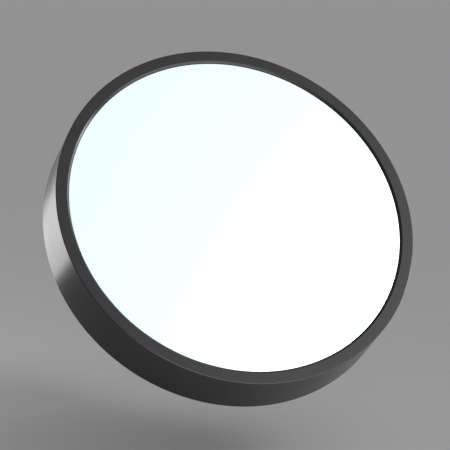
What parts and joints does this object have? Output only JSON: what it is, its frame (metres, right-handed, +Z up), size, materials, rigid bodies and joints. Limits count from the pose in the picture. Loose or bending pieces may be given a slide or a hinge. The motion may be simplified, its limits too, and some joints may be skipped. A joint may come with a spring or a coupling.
{
  "type": "extendable shaving mirror",
  "caption": "Round shaving mirror in a thick satin black drum, on a wall-fixed folding scissor arm that swivels, with a yawing and tilting head.",
  "frame": {"origin": "centre of the wall plate's back face, on the wall", "axes": "+Y into the wall, so the mirror looks along -Y; +Z up; +X to the right for someone who faces the wall"},
  "size_m": [0.2, 0.2194, 0.1805],
  "materials": {
    "head_black": "satin black coated aluminium, fine grain",
    "cover_black": "fine-textured black moulded plastic",
    "arm_black": "satin black powder coat on steel",
    "steel": "fine turned stainless steel",
    "zinc_steel": "zinc plated, dull",
    "mirror_glass": "silvered plate glass, bevelled edge",
    "foam": "closed-cell adhesive foam",
    "nylon": "black nylon"
  },
  "bodies": {
    "wall_fixing": {"wall_plate": "zinc_steel", "wall_cover": "arm_black", "wall_bracket": "arm_black", "bracket_screw_upper": "steel", "bracket_screw_lower": "steel", "wall_rod": "steel", "wall_rod_nut_top": "arm_black", "wall_rod_nut_bottom": "arm_black", "wall_washer": "nylon", "wall_stop_ring": "steel"},
    "wall_collar": {"wall_top_collar": "arm_black", "wall_top_pivot": "steel"},
    "wall_slider": {"wall_lower_collar": "arm_black", "wall_lower_pivot": "steel"},
    "link_a1": {"bar_a1": "arm_black", "centre_rivet_1": "steel", "lower_rivet_1": "steel"},
    "link_b1": {"bar_b1": "arm_black", "upper_rivet_1": "steel"},
    "link_b2": {"bar_b2": "arm_black", "centre_rivet_2": "steel", "upper_rivet_2": "steel"},
    "link_a2": {"bar_a2": "arm_black", "lower_rivet_2": "steel"},
    "link_a3": {"bar_a3": "arm_black", "centre_rivet_3": "steel", "lower_rivet_3": "steel"},
    "link_b3": {"bar_b3": "arm_black", "upper_rivet_3": "steel"},
    "link_b4": {"bar_b4": "arm_black", "centre_rivet_4": "steel"},
    "link_a4": {"bar_a4": "arm_black"},
    "front_collar": {"front_top_collar": "arm_black", "front_top_pivot": "steel"},
    "front_slider": {"front_lower_collar": "arm_black", "front_lower_pivot": "steel"},
    "front_frame": {"front_bracket": "arm_black", "front_rod": "steel", "front_rod_nut_top": "arm_black", "front_rod_nut_bottom": "arm_black", "front_washer": "nylon", "front_stop_ring": "steel", "neck": "arm_black", "neck_screw": "steel", "tilt_bolt": "steel", "tilt_nut": "arm_black", "friction_washer_left": "nylon", "friction_washer_right": "nylon"},
    "mirror_head": {"housing": "head_black", "mirror_glass": "mirror_glass", "mirror_pad": "foam", "back_cover": "cover_black", "stiffener_plate": "zinc_steel", "knuckle": "arm_black", "cover_screw_1": "steel", "cover_screw_2": "steel", "cover_screw_3": "steel", "knuckle_screw_1": "steel", "knuckle_screw_2": "steel", "knuckle_screw_3": "steel"}
  },
  "joints": [
    {"name": "arm_swivel", "type": "hinge", "parent": "wall_fixing", "child": "wall_collar", "pos_m": [0, -0.02, 0.04164], "axis": [0, 0, 1], "range_deg": [-45, 45]},
    {"name": "arm_extend", "type": "hinge", "parent": "wall_collar", "child": "link_a1", "pos_m": [0, -0.0305, 0.04164], "axis": [-1, 0, 0], "range_deg": [0, 54.4]},
    {"name": "cross_1", "type": "hinge", "parent": "link_a1", "child": "link_b1", "pos_m": [0, -0.036, 0], "axis": [-1, 0, 0], "range_deg": [-119.7, 4]},
    {"name": "wall_slide_pivot", "type": "hinge", "parent": "link_b1", "child": "wall_slider", "pos_m": [0, -0.0305, -0.04164], "axis": [-1, 0, 0], "range_deg": [-4, 59.8]},
    {"name": "lower_joint_1", "type": "hinge", "parent": "link_a1", "child": "link_b2", "pos_m": [0, -0.0415, -0.04164], "axis": [-1, 0, 0], "range_deg": [-119.7, 4]},
    {"name": "cross_2", "type": "hinge", "parent": "link_b2", "child": "link_a2", "pos_m": [0, -0.047, 0], "axis": [-1, 0, 0], "range_deg": [-4, 119.7]},
    {"name": "upper_joint_2", "type": "hinge", "parent": "link_b2", "child": "link_a3", "pos_m": [0, -0.0525, 0.04164], "axis": [-1, 0, 0], "range_deg": [-4, 119.7]},
    {"name": "cross_3", "type": "hinge", "parent": "link_a3", "child": "link_b3", "pos_m": [0, -0.058, 0], "axis": [-1, 0, 0], "range_deg": [-119.7, 4]},
    {"name": "lower_joint_3", "type": "hinge", "parent": "link_a3", "child": "link_b4", "pos_m": [0, -0.0635, -0.04164], "axis": [-1, 0, 0], "range_deg": [-119.7, 4]},
    {"name": "cross_4", "type": "hinge", "parent": "link_b4", "child": "link_a4", "pos_m": [0, -0.069, 0], "axis": [-1, 0, 0], "range_deg": [-4, 119.7]},
    {"name": "front_collar_pivot", "type": "hinge", "parent": "link_b4", "child": "front_collar", "pos_m": [0, -0.0745, 0.04164], "axis": [-1, 0, 0], "range_deg": [-4, 59.8]},
    {"name": "front_slide_pivot", "type": "hinge", "parent": "link_a4", "child": "front_slider", "pos_m": [0, -0.0745, -0.04164], "axis": [-1, 0, 0], "range_deg": [-59.8, 4]},
    {"name": "head_yaw", "type": "hinge", "parent": "front_collar", "child": "front_frame", "pos_m": [0, -0.085, 0.04164], "axis": [0, 0, 1], "range_deg": [-40, 40]},
    {"name": "head_tilt", "type": "hinge", "parent": "front_frame", "child": "mirror_head", "pos_m": [0, -0.125, 0], "axis": [-1, 0, 0], "range_deg": [-75, 6]}
  ],
  "couplings": [
    {"joint": "cross_1", "follows": "arm_extend", "ratio": -2},
    {"joint": "wall_slide_pivot", "follows": "arm_extend", "ratio": 1},
    {"joint": "lower_joint_1", "follows": "arm_extend", "ratio": -2},
    {"joint": "cross_2", "follows": "arm_extend", "ratio": 2},
    {"joint": "upper_joint_2", "follows": "arm_extend", "ratio": 2},
    {"joint": "cross_3", "follows": "arm_extend", "ratio": -2},
    {"joint": "lower_joint_3", "follows": "arm_extend", "ratio": -2},
    {"joint": "cross_4", "follows": "arm_extend", "ratio": 2},
    {"joint": "front_collar_pivot", "follows": "arm_extend", "ratio": 1},
    {"joint": "front_slide_pivot", "follows": "arm_extend", "ratio": -1}
  ]
}
